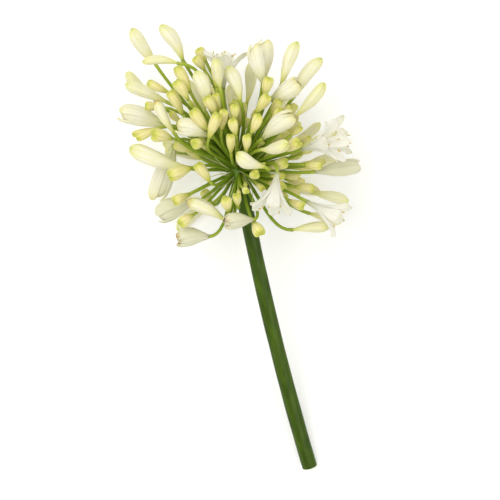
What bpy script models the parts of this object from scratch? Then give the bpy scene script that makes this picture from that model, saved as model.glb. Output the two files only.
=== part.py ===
"""A cut agapanthus flower head, white and half open, lying on a table.

A green scape carries one umbel. Slender pedicels fan out from the swollen top of the scape, and each
ends in a floret: a young bud, a closed bud, an opening bud or an open flower.
Metres, +Z up. The origin is on the table, right under the middle of the umbel, and the scape runs
towards -Y. A bearing turns clockwise from +Y as seen from above, and a lift rises from the table.
"""

import math
import random
from dataclasses import dataclass
from functools import cache

import bmesh
import bpy
import numpy as np
from mathutils import Matrix, Quaternion, Vector

MM = 0.001

# The scape, from the middle of the umbel down to its cut end, which lies on the table
UMBEL_CENTRE = Vector((0, 0, 63)) * MM
SCAPE_BEND = Vector((-7, -112, 37)) * MM
SCAPE_END = Vector((-1, -236, 5.1)) * MM
SCAPE_TOP_RADIUS = 5.7 * MM
SCAPE_END_RADIUS = 6.1 * MM
SCAPE_OVAL = 0.86
SCAPE_RINGS = 9
SCAPE_TOP_SHARE = 0.04
UMBEL_AXIS = (UMBEL_CENTRE - SCAPE_BEND).normalized()

# The receptacle, the swollen top of the scape: distance along the umbel's axis and radius
SEAT_GAP = 0.3 * MM
RECEPTACLE = ((-5.5, 6.2), (-1.0, 7.8), (3.2, 7.0), (6.4, 4.0))

# Pedicels: slender green tubes with their roots sunk in the receptacle
PEDICEL_RADIUS = 1.2 * MM
PEDICEL_POINTS = 4
YOUNG_PEDICEL_POINTS = 2
ROOT_SPREAD = 3.0 * MM
SEAT_LENGTH = 2.5 * MM

# Radius along a bud as a share of its half width, from its base to its tip
BUD_SHAPES = {
    "closed_bud": ((0.0, 0.24), (0.2, 0.5), (0.42, 0.84), (0.66, 1.0), (0.87, 0.8), (1.0, 0.16)),
    "opening_bud": ((0.0, 0.2), (0.16, 0.4), (0.36, 0.74), (0.62, 0.98), (0.84, 1.0), (1.0, 0.5)),
    "young_bud": ((0.0, 0.36), (0.34, 0.84), (0.7, 1.0), (1.0, 0.26)),
}

# An open flower: a short tube that parts into six tepals
TEPALS = 6
FLOWER_STATIONS = (0.0, 0.14, 0.3, 0.45, 0.6, 0.75, 0.88, 1.0)
TEPAL_SPREADS = (1.0, 1.0, 1.0, 0.94, 0.86, 0.68, 0.42, 0.08)
THROAT_STATION = 0.3
FLOWER_BASE_RADIUS = 1.5 * MM
FLOWER_FLARE = 1.7
TIP_CURL = 0.16
MIDRIB_RISE = 0.5 * MM
TEPAL_THICKNESS = 0.7 * MM
TEPAL_REACH = 4.4 * MM

# How florets keep clear of each other and of the table; buds crowd closer than open flowers
FLOWER_GAP = 1.0 * MM
BUD_GAP = 0.3 * MM
TABLE_GAP = 0.8 * MM
PRESSED_DEPTH = 0.35 * MM
FLAT_SIDE = math.cos(math.pi / 6)
MOST_NUDGES = 60

# Florets that the photograph shows: kind, then bearing and lift of the base seen from the umbel's
# middle, the distance between them, and the floret's own bearing, lift, length and width
SEEN_FLORETS = (
    ("closed_bud", -24, 2, 104, -20, 4, 31, 11),
    ("closed_bud", -13, 6, 94, -19, 6, 31, 11),
    ("closed_bud", -32, -2, 76, -53, -4, 35, 10.5),
    ("opening_bud", -44, 2, 66, -60, 0, 36, 15.5),
    ("closed_bud", -72, 17, 41, -57, -6, 46, 13),
    ("opening_bud", -53, -13, 55, -145, -18, 46, 17),
    ("closed_bud", -16, 16, 95, -75, 6, 26, 7.5),
    ("closed_bud", -35, -12, 94, -32, -8, 25, 9),
    ("closed_bud", -46, 30, 64, -15, 10, 27, 8.5),
    ("open_flower", 3, 10, 64, 17, 8, 32, 38),
    ("open_flower", 4, -17, 62, 4, -12, 34, 33),
    ("closed_bud", -11, 30, 61, -8, 10, 27, 11.5),
    ("closed_bud", 15, 35, 62, -6, 8, 27, 10.5),
    ("closed_bud", 1, 36, 76, 4, 26, 22, 9),
    ("opening_bud", 23, 4, 71, 10, 6, 31, 13),
    ("opening_bud", 30, 25, 73, 0, 8, 30, 12),
    ("opening_bud", 38, 22, 62, 74, 12, 25, 14.5),
    ("opening_bud", -29, 48, 51, -58, 12, 24, 13.5),
    ("opening_bud", -110, -8, 43, -95, -4, 29, 17),
    ("closed_bud", -150, 36, 47, -49, 6, 31, 11.5),
    ("opening_bud", -141, 4, 54, -80, 4, 25, 15),
    ("opening_bud", 179, 38, 48, -81, 30, 24, 12.5),
    ("closed_bud", 99, 69, 52, -51, 22, 24, 11.5),
    ("open_flower", 108, 55, 49, -159, 10, 34, 36),
    ("opening_bud", 52, 57, 53, 70, 30, 32, 14),
    ("closed_bud", 40, 14, 74, 34, 10, 34, 11),
    ("closed_bud", 50, 4, 70, 50, 2, 36, 11),
    ("closed_bud", 60, 26, 64, 56, 20, 34, 10),
    ("open_flower", 82, -6, 54, 88, -4, 39, 35),
    ("open_flower", 86, 36, 60, 90, 30, 36, 37),
    ("opening_bud", 104, 10, 58, 96, 4, 34, 12.5),
    ("open_flower", 128, 18, 58, 132, 12, 36, 33),
    ("closed_bud", 150, 12, 60, 104, 2, 28, 8.5),
    ("closed_bud", 134, -6, 62, 118, -10, 26, 8.5),
    ("closed_bud", 64, 66, 54, 96, 48, 28, 10),
)

# Young buds that the photograph shows, in the same form, many of them in clumps
SEEN_YOUNG = (
    (-47, -5, 70, -90, 2, 22, 6),
    (-47, 7, 68, -102, 6, 21, 6),
    (-48, 27, 62, -70, 42, 19, 10.5),
    (-73, 34, 43, -98, 20, 19, 10.5),
    (-97, 50, 36, -22, 20, 18, 8.5),
    (-31, 20, 63, -16, 14, 21, 8.5),
    (-18, 21, 73, -15, 12, 22, 8.5),
    (-28, 9, 80, -49, 6, 18, 7),
    (-22, 28, 72, -20, 24, 18, 8.5),
    (-37, 9, 77, -76, 20, 12, 7.5),
    (-24, 49, 56, -24, 22, 20, 9),
    (-40, 49, 50, -76, 55, 12, 8.5),
    (-30, 56, 56, 36, 20, 21, 8.5),
    (-10, 52, 51, 22, 24, 17, 7.5),
    (0, 24, 70, 18, 12, 20, 9),
    (-8, 42, 59, -17, 22, 16, 8.5),
    (-3, 37, 56, -2, 16, 15, 7),
    (9, 50, 57, 18, 34, 13, 7.5),
    (9, 62, 53, 3, 36, 15, 7.5),
    (-1, 71, 45, 11, 28, 15, 7),
    (33, 30, 67, 26, 20, 15, 8.5),
    (31, 42, 59, 47, 24, 17, 8.5),
    (33, 58, 52, 37, 26, 17, 8),
    (55, 69, 45, 21, 34, 15, 7),
    (42, 28, 55, 47, 20, 13, 7.5),
    (-120, 21, 51, -110, 30, 14, 9),
    (-101, 24, 45, -103, 20, 14, 8.5),
    (-149, 41, 46, 8, 44, 13, 8.5),
    (-161, 51, 43, 1, 40, 12, 6.5),
    (178, 31, 46, 163, 34, 14, 9.5),
    (-122, -11, 33, -26, 6, 12, 8),
    (-5, 11, 81, -24, 16, 13, 7.5),
    (1, 3, 88, -13, 14, 12, 8),
)

# Florets bent over by the table: bearing and distance of the base from the origin, then their
# own bearing, length and width
RESTING_FLORETS = (
    (180, 23, 0, 34, 11),
    (52, 30, 58, 35, 10.5),
    (118, 32, 112, 33, 10),
    (-122, 32, -114, 34, 10.5),
    (-50, 30, -56, 36, 11),
    (8, 38, 6, 34, 10.5),
)

# The florets between them, on an even spiral round the umbel's axis
SPIRAL_COUNT = 66
SPIRAL_FAR_ANGLE = 128
SPIRAL_NEAREST = 17
MOST_FLORETS = 59
LOW_LIFT = -0.28
LOW_DROP = 46
LOW_BEND = 0.35
FILL_KINDS = ("closed_bud", "closed_bud", "opening_bud", "closed_bud")

# Young buds, on shorter stalks inside the crown
YOUNG_COUNT = 156
MOST_YOUNG = 95
YOUNG_FAR_ANGLE = 124
YOUNG_STALKS = (30, 66)
YOUNG_LENGTHS = (10, 20)
YOUNG_LOWEST = 14 * MM

# Where the photograph shows all the large florets there are, and where it shows bare stalks: the
# middle, radius and lowest height of each bare place
SEEN_SIDE = (12 * MM, 58 * MM)
BARE_PLACES = ((-13, 6, 20, 63), (-47, -6, 33, 12))
COVER_EDGE = 1.5 * MM
GOLDEN_ANGLE = math.radians(137.508)
SEED = 11

COLOURS = {
    "scape": ((0.10, 0.22, 0.03), 0.4),
    "umbel": ((0.80, 0.78, 0.46), 0.5),
    "open_flower": ((0.92, 0.92, 0.84), 0.55),
}


@dataclass(eq=False)
class Floret:
    kind: str
    base: Vector
    axis: Vector
    length: float
    width: float
    roll: float = 0.0

    def at(self, share):
        """The point on the floret's axis at this share of its length."""
        return self.base + self.axis * (self.length * share)


def heading(bearing, lift):
    """The unit vector with this bearing and lift, in degrees."""
    turn, rise = math.radians(bearing), math.radians(lift)
    return Vector((math.sin(turn) * math.cos(rise), math.cos(turn) * math.cos(rise), math.sin(rise)))


def spiral_direction(index, count, far_angle):
    """The index-th of count even directions within far_angle of the umbel's axis."""
    least = math.cos(math.radians(far_angle))
    along = 1 - (1 - least) * (index + 0.5) / count
    around = index * GOLDEN_ANGLE
    across = math.sqrt(1 - along * along)
    local = Vector((across * math.cos(around), across * math.sin(around), along))
    return UMBEL_AXIS.to_track_quat("Z", "Y") @ local


def stalk_route(floret, count):
    """Points from the root in the receptacle to the floret's base, which the stalk meets head on."""
    reach = floret.base - UMBEL_CENTRE
    root = UMBEL_CENTRE + reach.normalized() * ROOT_SPREAD
    leaving = UMBEL_CENTRE + reach * 0.4 + UMBEL_AXIS * (reach.length * 0.06)
    arriving = floret.base - floret.axis * (reach.length * 0.3)
    route = []
    for step in range(count):
        t = step / (count - 1)
        s = 1 - t
        route.append(root * s**3 + leaving * (3 * s * s * t) + arriving * (3 * s * t * t) + floret.base * t**3)
    return route


def flower_radius(share, width):
    """Radius of an open flower at this share of its length."""
    return FLOWER_BASE_RADIUS + (width / 2 - FLOWER_BASE_RADIUS) * share**FLOWER_FLARE


def flower_height(share, length):
    """Height of an open flower's tepals at this share of their length: the tips curl back."""
    return length * (share - TIP_CURL * share**5)


def floret_frame(floret):
    """The matrix that stands a floret, modelled upright at the origin, in its place."""
    turn = floret.axis.to_track_quat("Z", "Y") @ Quaternion((0, 0, 1), floret.roll)
    return Matrix.Translation(floret.base) @ turn.to_matrix().to_4x4()


def balls(points, radii):
    """Points and radii as rows of one array."""
    return np.array([(*point, radius) for point, radius in zip(points, radii)])


@cache
def body_balls(floret):
    """Balls that fill the floret's own body."""
    if floret.kind != "open_flower":
        shares = np.linspace(0.1, 0.95, 8)
        girths = np.interp(shares, *zip(*BUD_SHAPES[floret.kind])) * floret.width / 2
        return balls([floret.at(share) for share in shares], girths)
    frame = floret_frame(floret)
    points, radii = [], []
    for tepal in range(TEPALS):
        around = (tepal + 0.5) * math.tau / TEPALS
        for share in (0.15, 0.35, 0.55, 0.75, 0.95):
            radius = flower_radius(share, floret.width)
            height = flower_height(share, floret.length)
            points.append(frame @ Vector((radius * math.cos(around), radius * math.sin(around), height)))
            radii.append(min(radius, TEPAL_REACH))
    return balls(points, radii)


@cache
def stalk_balls(floret):
    """Balls along the floret's stalk, outside the crowded middle of the umbel."""
    route = stalk_route(floret, 12)[3:-1]
    return balls(route, [PEDICEL_RADIUS] * len(route))


def nearest_gap(first, second):
    """The smallest gap between two sets of balls."""
    apart = np.linalg.norm(first[:, None, :3] - second[None, :, :3], axis=2)
    return float((apart - first[:, None, 3] - second[None, :, 3]).min())


def lowest(floret):
    """Height of the floret's lowest point."""
    body = body_balls(floret)
    return float((body[:, 2] - body[:, 3]).min())


def is_clear(floret, others):
    """True if the floret and its stalk keep clear of the others and of theirs."""
    body, stalk = body_balls(floret), stalk_balls(floret)
    for other in others:
        gap = FLOWER_GAP if "open_flower" in (floret.kind, other.kind) else BUD_GAP
        other_body = body_balls(other)
        if nearest_gap(body, other_body) < gap or nearest_gap(stalk, other_body) < gap:
            return False
        if nearest_gap(body, stalk_balls(other)) < gap:
            return False
    return True


def nudged(floret, degrees, draw):
    """The floret moved and turned by up to this angle about the umbel's middle."""
    shift = Vector([draw.uniform(-1, 1) for _ in range(3)]) * math.radians(degrees)
    turn = Vector([draw.uniform(-1, 1) for _ in range(3)]) * math.radians(degrees)
    reach = floret.base - UMBEL_CENTRE
    base = UMBEL_CENTRE + (reach.normalized() + shift).normalized() * reach.length
    axis = (floret.axis + turn).normalized()
    return Floret(floret.kind, base, axis, floret.length, floret.width, floret.roll)


def fitted(floret, others, draw):
    """The floret, nudged no more than it needs to be clear of the others and the table, or None."""
    for attempt in range(MOST_NUDGES):
        trial = nudged(floret, 0.6 * attempt, draw)
        if lowest(trial) > TABLE_GAP and is_clear(trial, others):
            return trial
    return None


def resting_florets():
    """Florets that lie along the table and carry the head, pressed a little flat under it."""
    found = []
    for bearing, reach, own_bearing, length, width in RESTING_FLORETS:
        base = heading(bearing, 0) * (reach * MM)
        base.z = width / 2 * FLAT_SIDE * MM - PRESSED_DEPTH
        found.append(Floret("closed_bud", base, heading(own_bearing, 0), length * MM, width * MM))
    return found


def seen_floret(kind, bearing, lift, reach, own_bearing, own_lift, length, width):
    base = UMBEL_CENTRE + heading(bearing, lift) * (reach * MM)
    return Floret(kind, base, heading(own_bearing, own_lift), length * MM, width * MM)


def filling_florets(others, young, draw):
    """Florets on an even spiral, wherever the crown still has room."""
    found = []
    taken = [(floret.base - UMBEL_CENTRE).normalized() for floret in others]
    for index in range(SPIRAL_COUNT):
        direction = spiral_direction(index, SPIRAL_COUNT, SPIRAL_FAR_ANGLE)
        reach, length = draw.uniform(52, 64), draw.uniform(27, 36)
        kind = FILL_KINDS[len(found) % len(FILL_KINDS)]
        if min(math.degrees(direction.angle(other)) for other in taken) < SPIRAL_NEAREST:
            continue
        width = {"closed_bud": 0.3 * length, "opening_bud": 12.5, "open_flower": 33}[kind]
        axis = direction.copy()
        if direction.z < LOW_LIFT:
            kind, width = "closed_bud", 0.3 * length
            reach = min(reach, LOW_DROP / -direction.z)
            axis.z *= LOW_BEND
            axis.normalize()
        floret = Floret(kind, UMBEL_CENTRE + direction * (reach * MM), axis, length * MM, width * MM)
        if floret.base.x < SEEN_SIDE[0] and floret.base.z > SEEN_SIDE[1] or is_over_bare_stalks(floret):
            continue
        floret = fitted(floret, others + young + found, draw)
        if floret and len(others) + len(found) < MOST_FLORETS:
            found.append(floret)
            taken.append((floret.base - UMBEL_CENTRE).normalized())
    return found


def is_over_bare_stalks(floret):
    """True if the floret would be among the stalks that the photograph shows bare."""
    middle = floret.at(0.5)
    return any(
        middle.z > height * MM and (middle.xy - Vector((x, y)) * MM).length < radius * MM
        for x, y, radius, height in BARE_PLACES
    )


def hides_one(floret, seen):
    """True if the floret would cover one that the photograph shows, seen from above."""
    body = body_balls(floret)
    for other in seen:
        under = body_balls(other)
        apart = np.linalg.norm(body[:, None, :2] - under[None, :, :2], axis=2)
        over = body[:, None, 2] > under[None, :, 2]
        if (over & (apart < body[:, None, 3] + under[None, :, 3] - COVER_EDGE)).any():
            return True
    return False


def young_florets(others, seen, most):
    """Young buds on an even spiral, clear of the other florets and of each other, and covering none seen."""
    draw = random.Random(SEED)
    found = []
    for index in range(YOUNG_COUNT):
        direction = spiral_direction(index, YOUNG_COUNT, YOUNG_FAR_ANGLE)
        near, far = YOUNG_STALKS
        reach = (near + (far - near) * draw.random() ** 1.6) * MM
        length = draw.uniform(*YOUNG_LENGTHS) * MM
        width = min(0.5 * length, 3.2 * MM + 0.27 * length)
        lean = Vector([draw.uniform(-0.25, 0.25) for _ in range(3)])
        floret = Floret("young_bud", UMBEL_CENTRE + direction * reach, (direction + lean).normalized(), length, width)
        if floret.at(1).z < YOUNG_LOWEST or is_over_bare_stalks(floret) or hides_one(floret, seen):
            continue
        if len(found) < most and is_clear(floret, others + found):
            found.append(floret)
    return found


def seen_florets(rows, others, draw):
    """The florets of these rows, nudged until they are clear of the others."""
    found = []
    for row in rows:
        floret = fitted(seen_floret(*row), others + found, draw)
        if floret:
            found.append(floret)
        else:
            print("no room for", row)
    return found


def lay_out():
    """All florets: those that rest on the table, those seen, those between them, and young buds."""
    draw = random.Random(SEED)
    florets = resting_florets()
    seen = seen_florets(SEEN_FLORETS, florets, draw)
    young = seen_florets([("young_bud", *row) for row in SEEN_YOUNG], florets + seen, draw)
    florets += seen
    florets += filling_florets(florets, young, draw)
    young += young_florets(florets + young, seen + young, MOST_YOUNG - len(young))
    return florets, young


def clear_scene():
    for item in list(bpy.data.objects):
        bpy.data.objects.remove(item, do_unlink=True)


def new_collection(name):
    collection = bpy.data.collections.new(name)
    bpy.context.scene.collection.children.link(collection)
    return collection


def new_material(name):
    colour, roughness = COLOURS[name]
    material = bpy.data.materials.new(name)
    material.use_nodes = True
    shader = material.node_tree.nodes["Principled BSDF"]
    shader.inputs["Base Color"].default_value = (*colour, 1)
    shader.inputs["Roughness"].default_value = roughness
    shader.inputs["Metallic"].default_value = 0
    return material


def tube_curve(name, points, radii, sides_resolution, collection):
    """A tube through the points, as a curve with a radius at each of them."""
    curve = bpy.data.curves.new(name, "CURVE")
    curve.dimensions = "3D"
    curve.bevel_depth = 1.0
    curve.bevel_resolution = sides_resolution
    curve.use_fill_caps = True
    spline = curve.splines.new("POLY")
    spline.points.add(len(points) - 1)
    for spline_point, point, radius in zip(spline.points, points, radii):
        spline_point.co = (*point, 1)
        spline_point.radius = radius
    tube = bpy.data.objects.new(name, curve)
    collection.objects.link(tube)
    return tube


def meshes_from(curves, collection):
    """Each tube as a mesh with its caps welded on. The curves are removed."""
    graph = bpy.context.evaluated_depsgraph_get()
    made = []
    for tube in curves:
        mesh = bpy.data.meshes.new_from_object(tube.evaluated_get(graph))
        shape = bmesh.new()
        shape.from_mesh(mesh)
        bmesh.ops.remove_doubles(shape, verts=shape.verts, dist=0.01 * MM)
        bmesh.ops.recalc_face_normals(shape, faces=shape.faces)
        shape.to_mesh(mesh)
        shape.free()
        solid = bpy.data.objects.new(tube.name + "_solid", mesh)
        solid.matrix_world = tube.matrix_world
        collection.objects.link(solid)
        made.append(solid)
    for tube in curves:
        bpy.data.objects.remove(tube, do_unlink=True)
    return made


def scape_point(t):
    """The scape's centreline, from the umbel's middle at 0 to the cut end at 1."""
    s = 1 - t
    return UMBEL_CENTRE * s * s + SCAPE_BEND * (2 * s * t) + SCAPE_END * t * t


def scape_solid(collection):
    """The scape, a little flatter than it is wide, up to just below the receptacle."""
    shares = np.linspace(SCAPE_TOP_SHARE, 1, SCAPE_RINGS)
    points = [scape_point(float(share)) for share in shares]
    radii = [SCAPE_TOP_RADIUS + (SCAPE_END_RADIUS - SCAPE_TOP_RADIUS) * float(share) for share in shares]
    scape = meshes_from([tube_curve("scape_tube", points, radii, 6, collection)], collection)[0]
    scape.name = "scape"
    depths = [-point.y for point in points]
    heights = [point.z for point in points]
    for vertex in scape.data.vertices:
        middle = float(np.interp(-vertex.co.y, depths, heights))
        vertex.co.z = middle + (vertex.co.z - middle) * SCAPE_OVAL
    return scape


def receptacle_curve(collection):
    """The swollen top of the scape, which the pedicels grow from."""
    top = scape_point(SCAPE_TOP_SHARE) + UMBEL_AXIS * SEAT_GAP
    points = [top] + [UMBEL_CENTRE + UMBEL_AXIS * (along * MM) for along, _ in RECEPTACLE]
    radii = [SCAPE_TOP_RADIUS] + [radius * MM for _, radius in RECEPTACLE]
    return tube_curve("receptacle", points, radii, 4, collection)


def pedicel_curve(index, floret, collection):
    """A bare stalk that ends just short of an open flower's base, head on to it."""
    points = stalk_route(floret, PEDICEL_POINTS + 1)[:-1]
    points.append(floret.base - floret.axis * SEAT_LENGTH)
    points.append(floret.base - floret.axis * SEAT_GAP)
    radii = np.linspace(PEDICEL_RADIUS, FLOWER_BASE_RADIUS, len(points))
    return tube_curve(f"pedicel_{index:03d}", points, radii, 1, collection)


def budded_curve(index, floret, collection):
    """A stalk and its bud as one tube that swells at the end."""
    young = floret.kind == "young_bud"
    points = stalk_route(floret, (YOUNG_PEDICEL_POINTS if young else PEDICEL_POINTS) + 1)[:-1]
    radii = [PEDICEL_RADIUS] * len(points)
    for share, girth in BUD_SHAPES[floret.kind]:
        points.append(floret.at(share))
        radii.append(girth * floret.width / 2)
    return tube_curve(f"budded_{index:03d}", points, radii, 0 if young else 1, collection)


def join_into(target, collection):
    """Joins the collection's objects to the target as one body, and removes them."""
    joining = target.modifiers.new("join", "BOOLEAN")
    joining.operation = "UNION"
    joining.operand_type = "COLLECTION"
    joining.collection = collection
    joining.solver = "MANIFOLD"
    graph = bpy.context.evaluated_depsgraph_get()
    joined = bpy.data.meshes.new_from_object(target.evaluated_get(graph))
    target.modifiers.clear()
    target.data = joined
    for item in list(collection.objects):
        bpy.data.objects.remove(item, do_unlink=True)
    bpy.data.collections.remove(collection)


def flower_object(name, floret, material, collection):
    """An open flower: a sheet rolled into a tube that parts into tepals, given its thickness."""
    columns, rows = TEPALS * 2, len(FLOWER_STATIONS) - 1
    shape = bmesh.new()
    bmesh.ops.create_grid(shape, x_segments=columns, y_segments=rows, size=0.5)
    for vertex in shape.verts:
        column = round((vertex.co.x + 0.5) * columns)
        row = round((vertex.co.y + 0.5) * rows)
        vertex.co = (column, FLOWER_STATIONS[row], 0)
    between = [
        edge
        for edge in shape.edges
        if all(round(end.co.x) % 2 == 0 and end.co.y >= THROAT_STATION for end in edge.verts)
        and edge.verts[0].co.x == edge.verts[1].co.x
        and not edge.is_boundary
    ]
    bmesh.ops.split_edges(shape, edges=between)
    for vertex in shape.verts:
        side = np.mean([face.calc_center_median().x for face in vertex.link_faces])
        vertex.co.z = side
    for vertex in shape.verts:
        column, share, side = vertex.co
        middle = 2 * math.floor(min(side, columns - 0.01) / 2) + 1
        edge_share = abs(column - middle)
        around = middle + (column - middle) * float(np.interp(share, FLOWER_STATIONS, TEPAL_SPREADS))
        if share <= THROAT_STATION:
            around = column
        angle = around * math.tau / columns
        radius = flower_radius(share, floret.width) + MIDRIB_RISE * share * (1 - edge_share)
        vertex.co = (radius * math.cos(angle), radius * math.sin(angle), flower_height(share, floret.length))
    bmesh.ops.remove_doubles(shape, verts=shape.verts, dist=0.01 * MM)
    filled = bmesh.ops.contextual_create(shape, geom=[edge for edge in shape.edges if is_base_edge(edge)])
    bmesh.ops.recalc_face_normals(shape, faces=shape.faces)
    if filled["faces"][0].normal.z > 0:
        bmesh.ops.reverse_faces(shape, faces=shape.faces)
    mesh = bpy.data.meshes.new(name)
    shape.to_mesh(mesh)
    shape.free()
    mesh.materials.append(material)
    flower = bpy.data.objects.new(name, mesh)
    collection.objects.link(flower)
    thicken = flower.modifiers.new("thickness", "SOLIDIFY")
    thicken.thickness = TEPAL_THICKNESS
    thicken.offset = -1
    flower.matrix_world = floret_frame(floret)
    return flower


def is_base_edge(edge):
    return all(end.co.z < 0.1 * MM for end in edge.verts)


def table_cutter(collection):
    """The table under the head, which presses the resting florets flat."""
    mesh = bpy.data.meshes.new("table_cutter")
    shape = bmesh.new()
    bmesh.ops.create_cube(shape, size=1.0)
    bmesh.ops.transform(shape, matrix=Matrix.Translation((0, 0, -0.5)), verts=shape.verts)
    shape.to_mesh(mesh)
    shape.free()
    cutter = bpy.data.objects.new("table_cutter", mesh)
    cutter.hide_render = True
    cutter.display_type = "WIRE"
    collection.objects.link(cutter)
    return cutter


def press_flat(item, cutter):
    pressing = item.modifiers.new("pressed", "BOOLEAN")
    pressing.operation = "DIFFERENCE"
    pressing.object = cutter


def main():
    clear_scene()
    head = new_collection("agapanthus_flower_head")
    cutters = new_collection("cutters")
    shoots = new_collection("shoots")
    materials = {name: new_material(name) for name in COLOURS}
    cutter = table_cutter(cutters)
    florets, young = lay_out()
    flowers = [floret for floret in florets if floret.kind == "open_flower"]
    buds = [floret for floret in florets if floret.kind != "open_flower"]
    print(len(buds), "buds,", len(flowers), "open flowers and", len(young), "young buds")

    scape = scape_solid(head)
    scape.data.materials.append(materials["scape"])
    press_flat(scape, cutter)

    stalks = [pedicel_curve(index, floret, shoots) for index, floret in enumerate(flowers)]
    stalks += [budded_curve(index, floret, shoots) for index, floret in enumerate(buds + young)]
    meshes_from(stalks, shoots)
    umbel = meshes_from([receptacle_curve(head)], head)[0]
    umbel.name = "umbel"
    join_into(umbel, shoots)
    umbel.data.materials.clear()
    umbel.data.materials.append(materials["umbel"])
    press_flat(umbel, cutter)

    for index, floret in enumerate(flowers, 1):
        flower_object(f"open_flower_{index:02d}", floret, materials["open_flower"], head)


main()
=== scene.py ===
from dataclasses import dataclass, replace
from functools import cache, partial
from math import atan2, cos, degrees, pi, radians, sin, sqrt, tau
from random import Random

import bmesh
import bpy
import numpy as np
from mathutils import Color, Matrix, Vector
from mathutils.geometry import interpolate_bezier


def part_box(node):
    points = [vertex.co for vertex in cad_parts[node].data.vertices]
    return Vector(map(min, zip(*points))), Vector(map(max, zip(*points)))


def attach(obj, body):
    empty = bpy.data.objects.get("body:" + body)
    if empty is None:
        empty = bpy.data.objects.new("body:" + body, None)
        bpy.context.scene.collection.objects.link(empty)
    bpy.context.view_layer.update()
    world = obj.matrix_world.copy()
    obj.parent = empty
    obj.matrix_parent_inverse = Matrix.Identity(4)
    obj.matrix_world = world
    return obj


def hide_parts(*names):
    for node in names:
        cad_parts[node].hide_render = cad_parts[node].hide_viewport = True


# A cut head of white agapanthus lying on a table: the finished surfaces of its stem, stalks, buds
# and flowers. Metres, +Z up, the stem towards -Y. The plant's own sizes are in millimetres.

mm = 0.001
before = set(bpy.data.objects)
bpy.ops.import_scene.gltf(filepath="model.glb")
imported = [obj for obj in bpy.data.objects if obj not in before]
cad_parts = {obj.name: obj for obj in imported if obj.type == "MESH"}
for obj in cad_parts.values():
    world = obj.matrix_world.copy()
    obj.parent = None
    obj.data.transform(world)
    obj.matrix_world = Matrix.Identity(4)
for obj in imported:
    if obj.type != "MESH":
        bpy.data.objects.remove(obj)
scene = bpy.context.scene
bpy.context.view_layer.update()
print("frame loaded with", len(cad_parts), "nodes")


# Small helpers for colours, nodes and pieces

def toLinear(hexColour):
    return (*Color([value / 255 for value in bytes.fromhex(hexColour[1:])]).from_srgb_to_scene_linear(), 1)


def addNode(tree, kind, inputs=(), output=0, stops=(), **settings):
    # inputs are values or other nodes' outputs, by name or in order; gives back one output
    node = tree.nodes.new("ShaderNode" + kind)
    for name, value in settings.items():
        setattr(node, name, value)
    for name, value in inputs.items() if isinstance(inputs, dict) else enumerate(inputs):
        if isinstance(value, bpy.types.NodeSocket):
            tree.links.new(value, node.inputs[name])
        else:
            node.inputs[name].default_value = value
    if stops:
        elements = node.color_ramp.elements
        for _ in stops[2:]:
            elements.new(0.5)
        for element, (place, colour) in zip(elements, stops):
            element.position, element.color = place, toLinear(colour)
    return node.outputs[output] if node.outputs else node


def newMaterial(name, *grains):
    # gives back the material, what adds its nodes, its object coordinates and a noise for each grain,
    # a size in millimetres and a detail
    material = bpy.data.materials.new(name)
    material.use_nodes = True
    material.node_tree.nodes.clear()
    add = partial(addNode, material.node_tree)
    place = add("TexCoord", output="Object")
    noises = [add("TexNoise", {"Vector": place, "Scale": 1 / (size * mm), "Detail": detail})
              for size, detail in grains]
    return material, add, place, *noises


def finishMaterial(add, colour, layers, height, depth, inputs):
    # layers are a share, its strength and the colour it lays over the first one, height is a node's
    # output and depth its relief in millimetres
    for share, strength, layer in layers:
        share = add("Math", (share, strength), operation="MULTIPLY")
        colour = add("Mix", {0: share, 6: colour, 7: toLinear(layer)}, 2, data_type="RGBA")
    normal = add("Bump", {"Height": height, "Distance": depth * mm})
    surface = add("BsdfPrincipled", {"Base Color": colour, "Normal": normal, **inputs})
    add("OutputMaterial", {"Surface": surface})


def addObject(name, data):
    made = bpy.data.objects.new(name, data)
    scene.collection.objects.link(made)
    return made


def newObject(name, shape, *materials):
    # spin makes its faces in another order each run, so they are put in one that stays
    shape.faces.sort(key=lambda face: face.calc_center_median().dot((1, 3.3, 50.7)))
    mesh = bpy.data.meshes.new(name)
    shape.to_mesh(mesh)
    shape.free()
    mesh.shade_smooth()
    for material in materials:
        mesh.materials.append(material)
    return addObject(name, mesh)


def addPiece(name, shape, *materials, slot="umbel", nodes=("umbel",)):
    # a piece rides on the part and stands for the named nodes
    piece = newObject(name, shape, *materials)
    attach(piece, "root")
    if nodes:
        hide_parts(*nodes)
    return piece


def thicken(piece, thickness):
    solidify = piece.modifiers.new("thickness", "SOLIDIFY")
    solidify.thickness = thickness * mm
    solidify.offset = 0


def drawVector(draw, reach):
    return Vector([draw.uniform(-reach, reach) for _ in range(3)])


def ramp(low, high, values):
    share = np.clip((values - low) / (high - low), 0, 1)
    return share * share * (3 - 2 * share)


# The same plant as in the frame: where the scape runs and where every floret grows

plant = {
    "umbelCentre": (0, 0, 63),
    "scapeBend": (-7, -112, 37),
    "scapeEnd": (-1, -236, 5.1),
    "scapeTopRadius": 5.7,
    "scapeEndRadius": 6.1,
    "scapeOval": 0.86,
    "scapeTopShare": 0.04,
    "pedicelRadius": 1.2,
    "rootSpread": 3,
}
umbelCentre, scapeBend, scapeEnd = [
    Vector(plant[name]) * mm for name in ("umbelCentre", "scapeBend", "scapeEnd")]
umbelAxis = (umbelCentre - scapeBend).normalized()

# radius along a bud as a share of its half width, from its base to its tip
budShapes = {
    "closedBud": ((0, 0.24), (0.2, 0.5), (0.42, 0.84), (0.66, 1), (0.87, 0.8), (1, 0.16)),
    "openingBud": ((0, 0.2), (0.16, 0.4), (0.36, 0.74), (0.62, 0.98), (0.84, 1), (1, 0.5)),
    "youngBud": ((0, 0.36), (0.34, 0.84), (0.7, 1), (1, 0.26)),
}
flower = {
    "baseRadius": 1.5,
    "flare": 1.7,
    "tipCurl": 0.16,
    "tepalReach": 4.4,
}
closed, opening, opened = "closedBud", "openingBud", "openFlower"
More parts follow.
